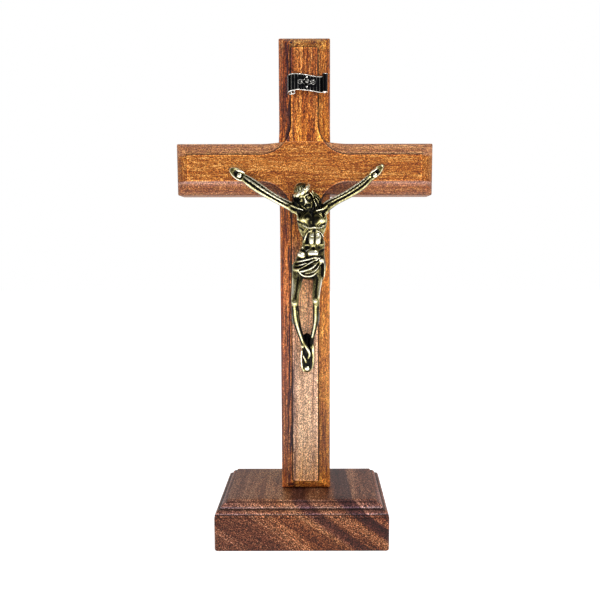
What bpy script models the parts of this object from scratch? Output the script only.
"""A standing wooden cross with a cast metal figure, about 25 cm tall.

Two boards of the same stock are half-lapped, and a router has run a step and a shallow round along
every front edge, which leaves a raised field. The cross stands on a moulded block, held by one screw
from below. The figure and the scroll above it are castings held by small domed pins.

Metres, +Z up, the front faces -Y. The origin is on the ground, in line with the middle of the cross.
"""

import math

import bmesh
import bpy
from mathutils import Matrix, Vector

MM = 0.001
GAP = 0.3 * MM                   # clearance between pieces that touch

# Block that the cross stands on
BASE_WIDTH = 86.4 * MM
BASE_DEPTH = 53.4 * MM
BASE_FACE_HEIGHT = 17.0 * MM     # plain vertical face below the moulding
BASE_ROUND = 1.0 * MM            # softened corners
BASE_SHIFT = -1.8 * MM           # the block's middle lies this far to the left of the cross

# Moulding round the top of the block, from the face upwards
LOWER_LEDGE = 0.3 * MM
LOWER_FILLET = 1.4 * MM
BEAD_LEDGE = 0.25 * MM
BEAD_RISE = 0.3 * MM
BEAD_RADIUS = 1.8 * MM
QUIRK_LEDGE = 0.4 * MM
OVOLO_RADIUS = 2.6 * MM
UPPER_LEDGE = 0.35 * MM
UPPER_FILLET = 1.2 * MM

# Boards of the cross
UPRIGHT_WIDTH = 25.0 * MM
CROSSBAR_WIDTH = 25.0 * MM
CROSSBAR_LENGTH = 126.0 * MM
BOARD_THICKNESS = 20.0 * MM
UPPER_ARM = 49.8 * MM            # upright above the crossbar
LOWER_ARM = 150.6 * MM           # upright between the base and the crossbar
BOARD_ROUND = 0.6 * MM           # softened corners of the boards

# Cut along the front edges of the boards
STEP_DEPTH = 1.0 * MM            # square step at the edge of the raised field
CUT_WIDTH = 6.2 * MM             # from the side of the board to the field
CUT_DEPTH = 6.8 * MM             # from the field back to the rim
CUT_BULGE = 0.5 * MM             # how far the cut surface swells between the step and the rim
BEARING_RADIUS = 9.0 * MM        # guide of the cutter, which rounds the inner corners of the field

# Screw under the base
SCREW_LENGTH = 40.0 * MM
SCREW_RADIUS = 2.1 * MM
SCREW_TIP = 5.0 * MM
SCREW_HEAD_RADIUS = 4.0 * MM
SCREW_HEAD_HEIGHT = 2.6 * MM
COUNTERBORE_DEPTH = 8.0 * MM
RECESS_WIDTH = 0.9 * MM
RECESS_SPAN = 4.6 * MM
RECESS_DEPTH = 1.3 * MM

# Pins through the castings
PIN_RADIUS = 0.55 * MM
PIN_HEAD_RADIUS = 1.25 * MM
PIN_HEAD_HEIGHT = 0.9 * MM
PIN_IN_WOOD = 8.0 * MM
PIN_TIP = 1.5 * MM

# Figure. X is across, drop is measured down from the middle of the crossbar, and seat is how far the
# underside of a pin's head sits in front of the field
FIGURE_UNIT = 1.0 * MM           # one unit of the figure's tables of points
NECK_X, NECK_DROP = 2.4 * MM, 18.4 * MM
LEFT_HAND_X, LEFT_HAND_DROP = -31.2 * MM, 3.8 * MM
RIGHT_HAND_X, RIGHT_HAND_DROP = 33.9 * MM, 3.9 * MM
FEET_X, FEET_DROP = 1.0 * MM, 97.2 * MM
HAND_SEAT = 2.3 * MM
FEET_SEAT = 5.6 * MM
HEAD_LEAN = -20.0                # degrees, towards the left hand
HEAD_NOD = 20.0                  # degrees, forwards
VOXEL = 0.55 * MM                # grain of the casting's fused surface
KEPT_FACES = 0.24

# Scroll on the upper arm
SCROLL_RISE = 27.2 * MM          # middle of the plate above the crossbar's top edge
SCROLL_X = 1.4 * MM
SCROLL_HEIGHT = 7.5 * MM
SCROLL_SHEET = 0.7 * MM
SCROLL_HALF = 8.3 * MM           # from the middle of the plate to the centre of each roll
SCROLL_ROLL = 1.2 * MM
SCROLL_FLARE = 1.7 * MM          # how much taller the right roll is
SCROLL_SAG = 1.1 * MM            # how far the right end hangs below the left

# Places that follow from the sizes
MOULDING_HEIGHT = LOWER_FILLET + BEAD_RISE + BEAD_RADIUS + OVOLO_RADIUS + UPPER_FILLET
BASE_HEIGHT = BASE_FACE_HEIGHT + MOULDING_HEIGHT
FOOT_Z = BASE_HEIGHT + GAP
CROSSBAR_Z = FOOT_Z + LOWER_ARM + CROSSBAR_WIDTH / 2
TOP_Z = CROSSBAR_Z + CROSSBAR_WIDTH / 2 + UPPER_ARM
RIM_Y = -(BOARD_THICKNESS - CUT_DEPTH) / 2      # the foot, from rim to back, is centred on the base
FIELD_Y = RIM_Y - CUT_DEPTH
BACK_Y = FIELD_Y + BOARD_THICKNESS
LAP_Y = (FIELD_Y + BACK_Y) / 2
REACH = 20.0 * MM                # how far a cutter runs past what it cuts


def clear_scene():
    for obj in list(bpy.data.objects):
        bpy.data.objects.remove(obj, do_unlink=True)
    for mesh in list(bpy.data.meshes):
        bpy.data.meshes.remove(mesh)


def make_collection(name):
    collection = bpy.data.collections.new(name)
    bpy.context.scene.collection.children.link(collection)
    return collection


def make_material(name, colour, roughness, metallic):
    material = bpy.data.materials.new(name)
    material.use_nodes = True
    shader = material.node_tree.nodes["Principled BSDF"]
    shader.inputs["Base Color"].default_value = (*colour, 1.0)
    shader.inputs["Roughness"].default_value = roughness
    shader.inputs["Metallic"].default_value = metallic
    material.diffuse_color = (*colour, 1.0)
    return material


def add_object(name, mesh, collection, material=None):
    obj = bpy.data.objects.new(name, mesh)
    collection.objects.link(obj)
    if material:
        mesh.materials.append(material)
    return obj


def as_cutter(obj):
    obj.hide_render = True
    obj.display_type = "WIRE"
    return obj


def mesh_from(name, bm):
    bmesh.ops.recalc_face_normals(bm, faces=bm.faces)
    mesh = bpy.data.meshes.new(name)
    bm.to_mesh(mesh)
    bm.free()
    return mesh


def smooth(mesh, angle=35):
    mesh.shade_smooth()
    mesh.set_sharp_from_angle(angle=math.radians(angle))


def box(name, low, high, collection, material=None):
    """A block between two corners, with its origin at its middle."""
    size = Vector(high) - Vector(low)
    bm = bmesh.new()
    bmesh.ops.create_cube(bm, size=1.0)
    bmesh.ops.scale(bm, vec=size, verts=bm.verts)
    obj = add_object(name, mesh_from(name, bm), collection, material)
    obj.location = (Vector(high) + Vector(low)) / 2
    return obj


def cylinder(name, radius, start, end, collection, segments=32):
    """A round bar between two points."""
    axis = Vector(end) - Vector(start)
    bm = bmesh.new()
    bmesh.ops.create_cone(bm, cap_ends=True, segments=segments, radius1=radius, radius2=radius,
                          depth=axis.length)
    obj = add_object(name, mesh_from(name, bm), collection)
    obj.location = (Vector(start) + Vector(end)) / 2
    obj.rotation_mode = "QUATERNION"
    obj.rotation_quaternion = axis.to_track_quat("Z", "Y")
    return obj


def loft(name, rings, collection, material=None):
    """A closed solid through rings of equal count, with flat ends."""
    bm = bmesh.new()
    rows = [[bm.verts.new(point) for point in ring] for ring in rings]
    count = len(rows[0])
    for lower, upper in zip(rows, rows[1:]):
        for i in range(count):
            j = (i + 1) % count
            bm.faces.new((lower[i], lower[j], upper[j], upper[i]))
    bm.faces.new(rows[0])
    bm.faces.new(rows[-1])
    return add_object(name, mesh_from(name, bm), collection, material)


def turned(name, profile, collection, material, segments=24):
    """A profile of (radius, z) down the outer side, turned about Z by a Screw modifier."""
    mesh = bpy.data.meshes.new(name)
    points = [(radius, 0.0, z) for radius, z in profile]
    mesh.from_pydata(points, [(i, i + 1) for i in range(len(points) - 1)], [])
    obj = add_object(name, mesh, collection, material)
    screw = obj.modifiers.new("turn", "SCREW")
    screw.steps = segments
    screw.render_steps = segments
    screw.use_merge_vertices = True
    screw.merge_threshold = 0.01 * MM
    return obj


def soften(obj, width, segments=2):
    bevel = obj.modifiers.new("soften", "BEVEL")
    bevel.width = width
    bevel.segments = segments
    bevel.limit_method = "ANGLE"


def cut(obj, *cutters):
    for cutter in cutters:
        boolean = obj.modifiers.new("cut_" + cutter.name, "BOOLEAN")
        boolean.operation = "DIFFERENCE"
        boolean.solver = "EXACT"
        boolean.object = as_cutter(cutter)


def edge_cut_levels(points=6):
    """The cut along a front edge as (distance behind the field, distance in from the side)."""
    levels = [(-REACH, CUT_WIDTH), (STEP_DEPTH, CUT_WIDTH)]
    slope = math.hypot(CUT_WIDTH, CUT_DEPTH - STEP_DEPTH)
    out_y = -CUT_WIDTH / slope
    out_in = -(CUT_DEPTH - STEP_DEPTH) / slope
    for i in range(1, points):
        t = i / points
        swell = CUT_BULGE * 4 * t * (1 - t)
        depth = STEP_DEPTH + (CUT_DEPTH - STEP_DEPTH) * t + out_y * swell
        levels.append((depth, CUT_WIDTH * (1 - t) + out_in * swell))
    last = levels[-1]
    levels.append((CUT_DEPTH, 0.0))
    levels.append((2 * CUT_DEPTH - last[0], -last[1]))
    return levels


def corner_cutter(name, side, up, run, rise, collection, steps=14):
    """What the guided cutter removes round one inner corner of the cross: at each level the
    outline runs along the crossbar, turns about the bearing's centre and follows the upright."""
    rings = []
    for depth, inward in edge_cut_levels():
        radius = BEARING_RADIUS + inward
        ring = [(run, BEARING_RADIUS - radius)]
        for i in range(steps + 1):
            angle = -math.pi / 2 - math.pi / 2 * i / steps
            ring.append((BEARING_RADIUS + radius * math.cos(angle),
                         BEARING_RADIUS + radius * math.sin(angle)))
        ring += [(BEARING_RADIUS - radius, rise), (run, rise)]
        rings.append([(side * (UPRIGHT_WIDTH / 2 + u), FIELD_Y + depth,
                       CROSSBAR_Z + up * (CROSSBAR_WIDTH / 2 + v)) for u, v in ring])
    return loft(name, rings, collection)


def end_cutter(name, axis, sign, end, half_width, middle, collection):
    """The same cut straight across the end of a board. The axis is 0 along X or 2 along Z."""
    rings = []
    for depth, inward in edge_cut_levels():
        inner = end - sign * inward
        outer = end + sign * REACH
        ring = []
        for along, across in ((inner, -1), (inner, 1), (outer, 1), (outer, -1)):
            aside = middle + across * (half_width + REACH)
            point = (along, FIELD_Y + depth, aside) if axis == 0 else (aside, FIELD_Y + depth, along)
            ring.append(point)
        rings.append(ring)
    return loft(name, rings, collection)


def quarter_round(start_in, start_z, radius, steps=6):
    """A convex quarter circle that leaves the wall upwards and ends level."""
    return [(start_in + radius * (1 - math.cos(math.pi / 2 * i / steps)),
             start_z + radius * math.sin(math.pi / 2 * i / steps)) for i in range(steps + 1)]


def moulding_profile():
    """The moulding as (distance in from the face, height), with the waste outside it."""
    inward, z = LOWER_LEDGE, BASE_FACE_HEIGHT
    points = [(-REACH, z), (inward, z)]
    z += LOWER_FILLET
    points.append((inward, z))
    inward += BEAD_LEDGE
    points.append((inward, z))
    z += BEAD_RISE
    points += quarter_round(inward, z, BEAD_RADIUS)
    inward += BEAD_RADIUS + QUIRK_LEDGE
    z += BEAD_RADIUS
    points.append((inward, z))
    points += quarter_round(inward, z, OVOLO_RADIUS)[1:]
    inward += OVOLO_RADIUS + UPPER_LEDGE
    z += OVOLO_RADIUS
    points.append((inward, z))
    points += [(inward, z + UPPER_FILLET + REACH), (-REACH, z + UPPER_FILLET + REACH)]
    return points


def moulding_cutter(name, angle, half_size, half_length, collection):
    """The moulding's waste along one side of the block, turned about the block's middle."""
    rings = []
    for along in (-half_length - REACH, half_length + REACH):
        rings.append([(along, -half_size + inward, z) for inward, z in moulding_profile()])
    cutter = loft(name, rings, collection)
    cutter.location = (BASE_SHIFT, 0, 0)
    cutter.rotation_euler = (0, 0, angle)
    return cutter


def make_base(parts, cutters, wood):
    low = (BASE_SHIFT - BASE_WIDTH / 2, -BASE_DEPTH / 2, 0)
    high = (BASE_SHIFT + BASE_WIDTH / 2, BASE_DEPTH / 2, BASE_HEIGHT)
    block = box("base_block", low, high, parts, wood)
    soften(block, BASE_ROUND, 3)
    for i in range(4):
        across, along = (BASE_DEPTH, BASE_WIDTH) if i % 2 == 0 else (BASE_WIDTH, BASE_DEPTH)
        cut(block, moulding_cutter(f"moulding_{i}", i * math.pi / 2, across / 2, along / 2, cutters))
    bore = SCREW_HEAD_RADIUS + GAP * 3
    cut(block,
        cylinder("screw_counterbore", bore, (0, 0, -REACH), (0, 0, COUNTERBORE_DEPTH), cutters),
        cylinder("screw_way", SCREW_RADIUS + GAP, (0, 0, 0), (0, 0, BASE_HEIGHT + REACH), cutters, 24))
    return block


def pin_hole(name, x, z, cutters):
    """The hole for a pin, from in front of the castings into the wood."""
    end_y = FIELD_Y + PIN_IN_WOOD + GAP
    return cylinder(name, PIN_RADIUS + GAP, (x, FIELD_Y - REACH, z), (x, end_y, z), cutters, 16)


def pin_seat(name, x, z, seat, cutters):
    """The hole for a pin through a casting, with a spot face that its head rests on."""
    wide, narrow = PIN_HEAD_RADIUS + GAP, PIN_RADIUS + GAP
    face = seat - GAP
    profile = [(0, REACH), (wide, REACH), (wide, face), (narrow, face), (narrow, -REACH), (0, -REACH)]
    cutter = turned(name, profile, cutters, None, 20)
    cutter.rotation_euler = (math.pi / 2, 0, 0)
    cutter.location = (x, FIELD_Y, z)
    return cutter


def make_cross(parts, cutters, wood, holes):
    half_u, half_c = UPRIGHT_WIDTH / 2, CROSSBAR_WIDTH / 2
    upright = box("upright", (-half_u, FIELD_Y, FOOT_Z), (half_u, BACK_Y, TOP_Z), parts, wood)
    crossbar = box("crossbar", (-CROSSBAR_LENGTH / 2, FIELD_Y, CROSSBAR_Z - half_c),
                   (CROSSBAR_LENGTH / 2, BACK_Y, CROSSBAR_Z + half_c), parts, wood)
    soften(upright, BOARD_ROUND)
    soften(crossbar, BOARD_ROUND)

    corners = []
    for side, up in ((-1, 1), (1, 1), (-1, -1), (1, -1)):
        rise = (UPPER_ARM if up > 0 else LOWER_ARM) + REACH
        run = CROSSBAR_LENGTH / 2 - half_u + REACH
        corners.append(corner_cutter(f"corner_{side}_{up}", side, up, run, rise, cutters))
    cut(upright, *corners)
    cut(crossbar, *corners)
    cut(upright, end_cutter("top_end", 2, 1, TOP_Z, half_u, 0, cutters),
        end_cutter("foot_end", 2, -1, FOOT_Z, half_u, 0, cutters))
    cut(crossbar, end_cutter("left_end", 0, -1, -CROSSBAR_LENGTH / 2, half_c, CROSSBAR_Z, cutters),
        end_cutter("right_end", 0, 1, CROSSBAR_LENGTH / 2, half_c, CROSSBAR_Z, cutters))

    # Half-lap: the crossbar passes in front
    cut(upright, box("upright_lap", (-half_u - REACH, FIELD_Y - REACH, CROSSBAR_Z - half_c - GAP),
                     (half_u + REACH, LAP_Y + GAP / 2, CROSSBAR_Z + half_c + GAP), cutters))
    cut(crossbar, box("crossbar_lap", (-half_u - GAP, LAP_Y - GAP / 2, CROSSBAR_Z - half_c - REACH),
                      (half_u + GAP, BACK_Y + REACH, CROSSBAR_Z + half_c + REACH), cutters))

    depth = COUNTERBORE_DEPTH + SCREW_LENGTH + 2 * GAP
    cut(upright, cylinder("screw_pilot", SCREW_RADIUS + GAP, (0, 0, FOOT_Z - REACH), (0, 0, depth),
                          cutters, 24))
    cut(upright, holes["foot_nail"], holes["title_pin"])
    cut(crossbar, holes["hand_nail_left"], holes["hand_nail_right"])
    return upright, crossbar


def make_screw(parts, cutters, steel):
    """A pan head in the counterbore, with its shank up through the base into the upright."""
    top = SCREW_LENGTH
    profile = [(0, top), (SCREW_RADIUS, top - SCREW_TIP), (SCREW_RADIUS, 0), (SCREW_HEAD_RADIUS, 0)]
    steps = 5
    for i in range(steps + 1):
        angle = math.pi / 2 * i / steps
        profile.append((SCREW_HEAD_RADIUS * math.cos(angle) ** 0.5,
                        -SCREW_HEAD_HEIGHT * (0.35 + 0.65 * math.sin(angle))))
    profile[-1] = (0, -SCREW_HEAD_HEIGHT)
    screw = turned("base_screw", profile, parts, steel)
    screw.location = (0, 0, COUNTERBORE_DEPTH - GAP)
    half, span = RECESS_WIDTH / 2, RECESS_SPAN / 2
    low_z = COUNTERBORE_DEPTH - GAP - SCREW_HEAD_HEIGHT
    for name, size in (("recess_a", (half, span)), ("recess_b", (span, half))):
        cut(screw, box(name, (-size[0], -size[1], low_z - REACH),
                       (size[0], size[1], low_z + RECESS_DEPTH), cutters))
    return screw


def make_pin(name, x, z, seat, parts, metal):
    """A domed pin whose head rests on a seat in front of the field."""
    length = seat + PIN_IN_WOOD
    steps = 5
    profile = []
    for i in range(steps + 1):
        angle = math.pi / 2 * (1 - i / steps)
        profile.append((PIN_HEAD_RADIUS * math.cos(angle), PIN_HEAD_HEIGHT * math.sin(angle)))
    profile[0] = (0, PIN_HEAD_HEIGHT)
    profile += [(PIN_RADIUS, 0), (PIN_RADIUS, -length + PIN_TIP), (0, -length)]
    pin = turned(name, profile, parts, metal, 20)
    pin.rotation_euler = (math.pi / 2, 0, 0)
    pin.location = (x, FIELD_Y - seat, z)
    return pin


def place(x, out, drop):
    """A point of the figure in its own units: across and below the pit of the neck, and how far it
    stands in front of the field."""
    unit = FIGURE_UNIT
    return Vector((NECK_X + x * unit, FIELD_Y - out * unit, CROSSBAR_Z - NECK_DROP - drop * unit))


def pin_point(x, drop):
    """A pin's place as (x, drop) from the pit of the neck, in the figure's units."""
    return (x - NECK_X) / FIGURE_UNIT, (drop - NECK_DROP) / FIGURE_UNIT


def along(start, end, rows):
    """Points of a limb between two (x, drop) ends, from rows of (share of the way, how far aside,
    out, radius)."""
    run, fall = end[0] - start[0], end[1] - start[1]
    length = math.hypot(run, fall)
    return [(start[0] + run * t - fall / length * aside, out,
             start[1] + fall * t + run / length * aside, radius) for t, aside, out, radius in rows]


def limb(name, points, collection):
    """A round limb through (x, out, drop, radius) in the figure's units: a curve with a radius at each
    point, made a mesh so that it can be joined."""
    curve = bpy.data.curves.new(name, "CURVE")
    curve.dimensions = "3D"
    curve.bevel_depth = FIGURE_UNIT
    curve.bevel_resolution = 3
    curve.use_fill_caps = True
    curve.resolution_u = 4
    spline = curve.splines.new("NURBS")
    spline.points.add(len(points) - 1)
    for knot, (x, out, drop, radius) in zip(spline.points, points):
        knot.co = (*place(x, out, drop), 1.0)
        knot.radius = radius
    spline.use_endpoint_u = True
    spline.order_u = 3
    tube = bpy.data.objects.new(name, curve)
    collection.objects.link(tube)
    mesh = bpy.data.meshes.new_from_object(tube.evaluated_get(bpy.context.evaluated_depsgraph_get()))
    bpy.data.objects.remove(tube)
    bm = bmesh.new()
    bm.from_mesh(mesh)
    bmesh.ops.remove_doubles(bm, verts=bm.verts, dist=0.01 * MM)
    bm.to_mesh(mesh)
    bm.free()
    return mesh


def tilt(lean, nod):
    return Matrix.Rotation(math.radians(lean), 4, "Y") @ Matrix.Rotation(math.radians(nod), 4, "X")


def egg(name, centre, half, lean=0.0, nod=0.0):
    """An ellipsoid with half sizes across, deep and high, nodded forward and then leant sideways."""
    bm = bmesh.new()
    bmesh.ops.create_uvsphere(bm, u_segments=24, v_segments=14, radius=FIGURE_UNIT)
    matrix = Matrix.Translation(place(*centre)) @ tilt(lean, nod) @ Matrix.Diagonal((*half, 1.0))
    bmesh.ops.transform(bm, matrix=matrix, verts=bm.verts)
    return mesh_from(name, bm)


def band(name, centre, major, minor, lean, nod, around=24, ring=8):
    """A ring, for the band round the head."""
    bm = bmesh.new()
    rows = []
    for i in range(around):
        a = 2 * math.pi * i / around
        row = []
        for j in range(ring):
            b = 2 * math.pi * j / ring
            radius = (major + minor * math.cos(b)) * FIGURE_UNIT
            row.append(bm.verts.new((radius * math.cos(a), radius * math.sin(a),
                                     minor * math.sin(b) * FIGURE_UNIT)))
        rows.append(row)
    for i in range(around):
        for j in range(ring):
            bm.faces.new((rows[i][j], rows[(i + 1) % around][j],
                          rows[(i + 1) % around][(j + 1) % ring], rows[i][(j + 1) % ring]))
    matrix = Matrix.Translation(place(*centre)) @ tilt(lean, nod)
    bmesh.ops.transform(bm, matrix=matrix, verts=bm.verts)
    return mesh_from(name, bm)


def trunk(name, rows, collection, count=20):
    """A loft through level ellipses, each (x, out, drop, half width, half depth)."""
    rings = []
    for x, out, drop, half_width, half_depth in rows:
        rings.append([place(x + half_width * math.cos(2 * math.pi * i / count),
                            out + half_depth * math.sin(2 * math.pi * i / count), drop)
                      for i in range(count)])
    obj = loft(name, rings, collection)
    mesh = obj.data
    bpy.data.objects.remove(obj)
    return mesh


def body_forms(collection):
    """Trunk and cloth, from the pit of the neck."""
    torso = [(0.0, 5.4, 0.0, 6.2, 2.4), (0.2, 5.5, 1.8, 7.4, 3.3), (0.8, 5.7, 4.6, 7.2, 3.9),
             (1.3, 5.8, 8.0, 6.6, 4.0), (1.5, 5.7, 11.4, 6.25, 3.9), (1.75, 5.3, 14.3, 5.8, 3.5),
             (1.85, 5.0, 17.3, 5.4, 3.1), (1.7, 5.0, 19.7, 5.5, 3.1), (0.8, 5.3, 22.5, 6.3, 3.5),
             (0.4, 5.7, 25.2, 6.9, 3.9), (-0.1, 6.0, 29.2, 7.2, 4.0), (-0.4, 6.2, 31.6, 6.8, 3.7)]
    cloth = [(0.7, 5.6, 24.4, 6.9, 4.1), (0.4, 5.9, 26.0, 7.6, 4.9), (0.0, 6.3, 29.2, 7.9, 5.2),
             (-0.4, 6.6, 31.6, 6.6, 4.8), (-0.6, 6.9, 33.0, 3.4, 3.4)]
    fold_high = [(5.8, 8.6, 25.8, 1.0), (1.6, 10.9, 27.0, 1.1), (-3.0, 10.6, 29.4, 1.0),
                 (-6.8, 8.4, 30.8, 0.9)]
    fold_low = [(5.8, 8.8, 27.0, 1.0), (2.0, 11.2, 29.8, 1.0), (-1.8, 10.9, 31.4, 0.9),
                (-5.8, 9.0, 31.4, 0.8)]
    hem = [(-6.4, 8.4, 30.8, 0.9), (-3.4, 9.6, 33.2, 0.9), (1.5, 9.6, 33.2, 0.9), (4.8, 8.4, 30.0, 0.9)]
    cloth_end = [(5.8, 7.8, 26.2, 1.5), (6.5, 7.2, 30.4, 1.5), (6.3, 6.8, 34.8, 1.0)]
    return [trunk("torso", torso, collection), trunk("cloth", cloth, collection),
            limb("fold_high", fold_high, collection), limb("fold_low", fold_low, collection),
            limb("hem", hem, collection), limb("cloth_end", cloth_end, collection),
            egg("knot", (5.8, 8.2, 26.2), (1.7, 1.6, 1.6))]


def head_forms(collection):
    """Head, band and hair, from the pit of the neck."""
    neck = [(-1.2, 8.0, -3.9, 2.3), (-0.4, 6.8, -0.4, 2.3), (0.0, 5.6, 3.6, 2.6)]
    hair_right = [(0.2, 6.6, -9.8, 1.5), (2.4, 6.6, -6.4, 1.8), (4.2, 6.8, -3.0, 1.7), (6.0, 6.8, 0.2, 1.2)]
    hair_left = [(-5.6, 6.8, -7.4, 1.5), (-6.6, 6.9, -4.4, 1.5), (-6.8, 6.8, -1.4, 1.3),
                 (-6.0, 6.8, 1.6, 1.0)]
    return [limb("neck", neck, collection), limb("hair_right", hair_right, collection),
            limb("hair_left", hair_left, collection),
            egg("head", (-2.05, 8.6, -5.4), (3.6, 4.1, 5.7), HEAD_LEAN, HEAD_NOD),
            egg("beard", (-0.5, 10.2, -1.2), (1.9, 1.7, 2.2), HEAD_LEAN, HEAD_NOD / 2),
            band("crown", (-3.3, 8.9, -7.2), 3.75, 0.8, HEAD_LEAN, HEAD_NOD)]


def limb_forms(collection):
    """Arms from the shoulders to the hands' pins, and legs from the hips to the feet's pin."""
    left = pin_point(LEFT_HAND_X, LEFT_HAND_DROP)
    right = pin_point(RIGHT_HAND_X, RIGHT_HAND_DROP)
    feet = pin_point(FEET_X, FEET_DROP)
    arm_left = [(0.91, 0.0, 1.8, 1.6), (0.77, 0.1, 3.0, 2.2), (0.60, -0.2, 4.0, 2.05),
                (0.37, -0.4, 4.8, 1.8), (0.18, -0.2, 5.2, 1.95), (0.0, 0.0, 5.5, 2.9), (-0.15, 0.9, 5.5, 3.0)]
    arm_right = [(0.87, 0.3, 1.9, 1.5), (0.74, 0.9, 3.1, 1.95), (0.62, 1.2, 3.8, 1.95),
                 (0.41, 1.3, 4.6, 1.8), (0.17, 0.9, 5.2, 1.9), (0.0, 0.0, 5.5, 2.9), (-0.14, -0.7, 5.5, 3.0)]
    leg_left = [(0.0, 0.0, 6.2, 3.4), (0.10, 0.9, 7.1, 2.8), (0.20, 1.9, 8.6, 2.4), (0.29, 2.7, 9.9, 2.1),
                (0.35, 3.0, 9.5, 2.0), (0.47, 3.3, 7.8, 2.0), (0.58, 2.8, 6.3, 1.75),
                (0.68, 1.6, 5.2, 1.5), (0.77, -0.3, 4.9, 1.5), (0.87, -1.5, 4.8, 1.8)]
    leg_right = [(0.0, 0.0, 6.2, 3.3), (0.11, -1.1, 7.2, 2.5), (0.19, -1.2, 8.4, 2.2), (0.28, -1.3, 9.7, 2.0),
                 (0.37, -1.8, 9.1, 1.75), (0.50, -2.0, 7.4, 1.6), (0.60, -1.7, 5.9, 1.4),
                 (0.69, -0.9, 4.6, 1.35), (0.78, 0.6, 3.4, 1.5), (0.87, 1.4, 2.8, 1.7)]
    foot_rear = [(-0.6, 2.8, -9.2, 1.6), (-0.9, 2.8, -4.2, 1.9), (-0.6, 2.9, 0.3, 1.8), (-0.2, 2.9, 2.8, 1.2)]
    foot_front = [(0.4, 4.9, -9.7, 1.7), (1.1, 4.9, -5.7, 2.1), (1.1, 4.9, -1.7, 2.2),
                  (0.9, 4.7, 1.0, 1.9), (0.8, 4.6, 2.6, 1.2)]
    at_feet = [[(feet[0] + x, out, feet[1] + drop, radius) for x, out, drop, radius in foot]
               for foot in (foot_rear, foot_front)]
    return [limb("arm_left", along((-6.0, 1.5), left, arm_left), collection),
            limb("arm_right", along((5.6, 1.5), right, arm_right), collection),
            limb("leg_left", along((-5.3, 29.4), feet, leg_left), collection),
            limb("leg_right", along((3.2, 29.4), feet, leg_right), collection),
            limb("foot_rear", at_feet[0], collection), limb("foot_front", at_feet[1], collection),
            egg("hand_left", (left[0] - 0.8, 1.5, left[1] - 0.5), (2.5, 1.3, 4.9), lean=-57),
            egg("hand_right", (right[0] + 0.5, 1.5, right[1] - 1.6), (2.1, 1.3, 5.6), lean=44)]


def figure_forms(collection):
    """The figure's forms, each closed, overlapping where they join."""
    return body_forms(collection) + head_forms(collection) + limb_forms(collection)


def make_figure(parts, cutters, brass):
    """One casting: the forms fused by a voxel remesh, thinned, flat where it meets the wood, and
    bored and spot-faced for its pins."""
    bm = bmesh.new()
    for mesh in figure_forms(cutters):
        bm.from_mesh(mesh)
        bpy.data.meshes.remove(mesh)
    corpus = add_object("corpus", mesh_from("corpus", bm), parts, brass)
    remesh = corpus.modifiers.new("fuse", "REMESH")
    remesh.mode = "VOXEL"
    remesh.voxel_size = VOXEL
    relax = corpus.modifiers.new("relax", "SMOOTH")
    relax.factor = 0.5
    relax.iterations = 2
    thin = corpus.modifiers.new("thin", "DECIMATE")
    thin.ratio = KEPT_FACES

    half = CROSSBAR_LENGTH
    cut(corpus, box("wood_face", (-half, FIELD_Y - GAP, CROSSBAR_Z - half), (half, BACK_Y, CROSSBAR_Z + half),
                    cutters))
    for name, (x, z, seat) in pin_places().items():
        if name == "title_pin":
            continue
        cut(corpus, pin_seat("seat_" + name, x, z, seat, cutters))
    return corpus


def scroll_path(steps=8):
    """The scroll's section from above as (x, out) from the left roll to the right one: a half roll,
    a gently swelling sheet, and three quarters of a roll."""
    back = GAP + SCROLL_SHEET / 2
    middle = back + SCROLL_ROLL
    path = []
    for i in range(steps + 1):
        angle = -math.pi / 2 - math.pi * i / steps
        path.append((-SCROLL_HALF + SCROLL_ROLL * math.cos(angle), middle + SCROLL_ROLL * math.sin(angle)))
    inner = SCROLL_HALF - SCROLL_ROLL
    for i in range(1, steps):
        t = i / steps
        ease = t * t * (3 - 2 * t)
        swell = SCROLL_ROLL * 0.5 * math.sin(math.pi * t)
        path.append((-SCROLL_HALF + (SCROLL_HALF + inner) * t, middle + SCROLL_ROLL * (1 - 2 * ease) + swell))
    for i in range(steps * 2 + 1):
        angle = -math.pi / 2 + 1.4 * math.pi * i / (steps * 2)
        path.append((SCROLL_HALF + SCROLL_ROLL * math.cos(angle), middle + SCROLL_ROLL * math.sin(angle)))
    return path


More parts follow.
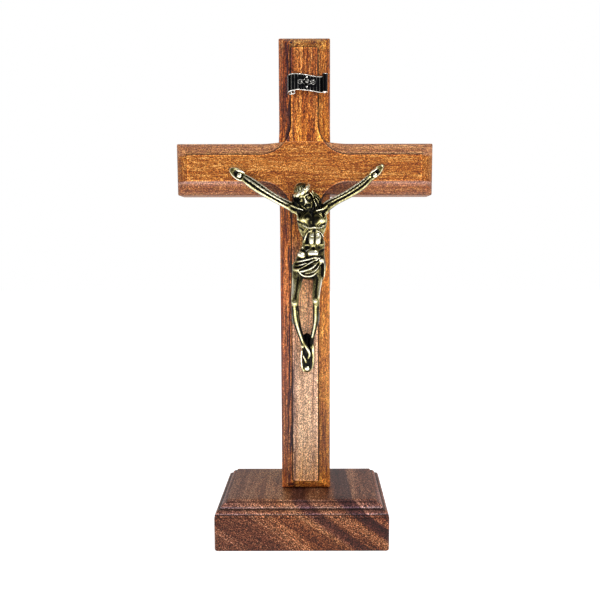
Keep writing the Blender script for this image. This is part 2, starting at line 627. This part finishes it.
def make_scroll(parts, cutters, metal, hole):
    """The scroll plate: a sheet carried up from its section, sagging and flaring to the right."""
    bm = bmesh.new()
    rows = 4
    middle_z = CROSSBAR_Z + CROSSBAR_WIDTH / 2 + SCROLL_RISE
    columns = []
    for x, out in scroll_path():
        t = (x + SCROLL_HALF) / (2 * SCROLL_HALF)
        flare = SCROLL_FLARE * max(0.0, (t - 0.8) / 0.2) ** 2
        height = SCROLL_HEIGHT + min(flare, SCROLL_FLARE)
        sag = SCROLL_SAG * max(0.0, t) ** 2
        columns.append([bm.verts.new((SCROLL_X + x, FIELD_Y - out,
                                      middle_z - sag + height * (j / rows - 0.5))) for j in range(rows + 1)])
    for left, right in zip(columns, columns[1:]):
        for j in range(rows):
            bm.faces.new((left[j], right[j], right[j + 1], left[j + 1]))
    mesh = bpy.data.meshes.new("title_scroll")
    bm.to_mesh(mesh)
    bm.free()
    scroll = add_object("title_scroll", mesh, parts, metal)
    sheet = scroll.modifiers.new("sheet", "SOLIDIFY")
    sheet.thickness = SCROLL_SHEET
    sheet.offset = 0.0
    cut(scroll, hole)
    return scroll


def scroll_face():
    """How far the front of the plate stands off the field at the pin."""
    path = scroll_path()
    nearest = min(path[9:-17], key=lambda point: abs(point[0]))
    return nearest[1] + SCROLL_SHEET / 2


def pin_places():
    title_z = CROSSBAR_Z + CROSSBAR_WIDTH / 2 + SCROLL_RISE
    return {
        "hand_nail_left": (LEFT_HAND_X, CROSSBAR_Z - LEFT_HAND_DROP, HAND_SEAT),
        "hand_nail_right": (RIGHT_HAND_X, CROSSBAR_Z - RIGHT_HAND_DROP, HAND_SEAT),
        "foot_nail": (FEET_X, CROSSBAR_Z - FEET_DROP, FEET_SEAT),
        "title_pin": (SCROLL_X, title_z, scroll_face() + GAP),
    }


def main():
    clear_scene()
    parts = make_collection("wooden_cross")
    cutters = make_collection("cutters")
    base_wood = make_material("base wood", (0.16, 0.07, 0.04), 0.35, 0.0)
    cross_wood = make_material("cross wood", (0.45, 0.20, 0.07), 0.35, 0.0)
    brass = make_material("antique brass", (0.32, 0.27, 0.14), 0.35, 1.0)
    pewter = make_material("dark pewter", (0.22, 0.22, 0.21), 0.40, 1.0)
    steel = make_material("zinc plated steel", (0.60, 0.60, 0.58), 0.30, 1.0)

    holes = {name: pin_hole("hole_" + name, x, z, cutters) for name, (x, z, _) in pin_places().items()}
    make_base(parts, cutters, base_wood)
    make_cross(parts, cutters, cross_wood, holes)
    make_screw(parts, cutters, steel)
    make_figure(parts, cutters, brass)
    make_scroll(parts, cutters, pewter, holes["title_pin"])
    for name, (x, z, seat) in pin_places().items():
        make_pin(name, x, z, seat, parts, pewter if name == "title_pin" else brass)


main()
